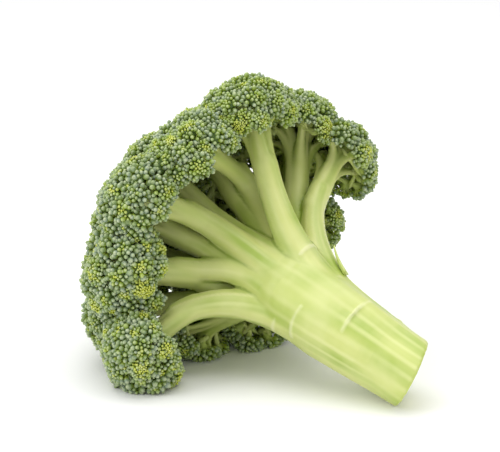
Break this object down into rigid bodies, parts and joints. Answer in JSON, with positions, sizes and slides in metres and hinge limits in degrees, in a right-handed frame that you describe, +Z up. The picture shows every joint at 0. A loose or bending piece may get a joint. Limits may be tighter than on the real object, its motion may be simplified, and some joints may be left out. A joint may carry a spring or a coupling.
{
  "type": "broccoli head",
  "caption": "Cut broccoli head lying on its side: a thick pale stalk, arching branches and a domed crown of bud-covered florets.",
  "frame": {"origin": "middle of the bounding box's underside, on the surface the head lies on", "axes": "+Z up; +X along the surface from the crown to the stalk's cut end; +Y across the crown, away from the side that is seen when the cut end points right and forward"},
  "size_m": [0.1809, 0.151, 0.1332],
  "materials": {
    "stalk_skin": "pale yellow-green waxy plant skin with fine lengthwise streaks, semi-matt",
    "leaf_scrap": "pale, thin leaf base, semi-matt",
    "flower_buds": "closed waxy buds, blue-green with a pale bloom, yellow-green in the young clusters"
  },
  "bodies": {
    "root": {"main_stalk": "stalk_skin", "branch_01": "stalk_skin", "branch_02": "stalk_skin", "branch_03": "stalk_skin", "branch_04": "stalk_skin", "branch_05": "stalk_skin", "branch_06": "stalk_skin", "branch_07": "stalk_skin", "branch_08": "stalk_skin", "branch_09": "stalk_skin", "branch_10": "stalk_skin", "branch_11": "stalk_skin", "branch_12": "stalk_skin", "branch_13": "stalk_skin", "branch_14": "stalk_skin", "branch_15": "stalk_skin", "branch_16": "stalk_skin", "branch_17": "stalk_skin", "branch_18": "stalk_skin", "branch_19": "stalk_skin", "leaf_stub": "leaf_scrap", "floret_01": "flower_buds", "floret_02": "flower_buds", "floret_03": "flower_buds", "floret_04": "flower_buds", "floret_05": "flower_buds", "floret_06": "flower_buds", "floret_07": "flower_buds", "floret_08": "flower_buds", "floret_09": "flower_buds", "floret_10": "flower_buds", "floret_11": "flower_buds", "floret_12": "flower_buds", "floret_13": "flower_buds", "floret_14": "flower_buds", "floret_15": "flower_buds", "floret_16": "flower_buds", "floret_17": "flower_buds", "floret_18": "flower_buds", "floret_19": "flower_buds", "floret_20": "flower_buds"}
  },
  "joints": []
}
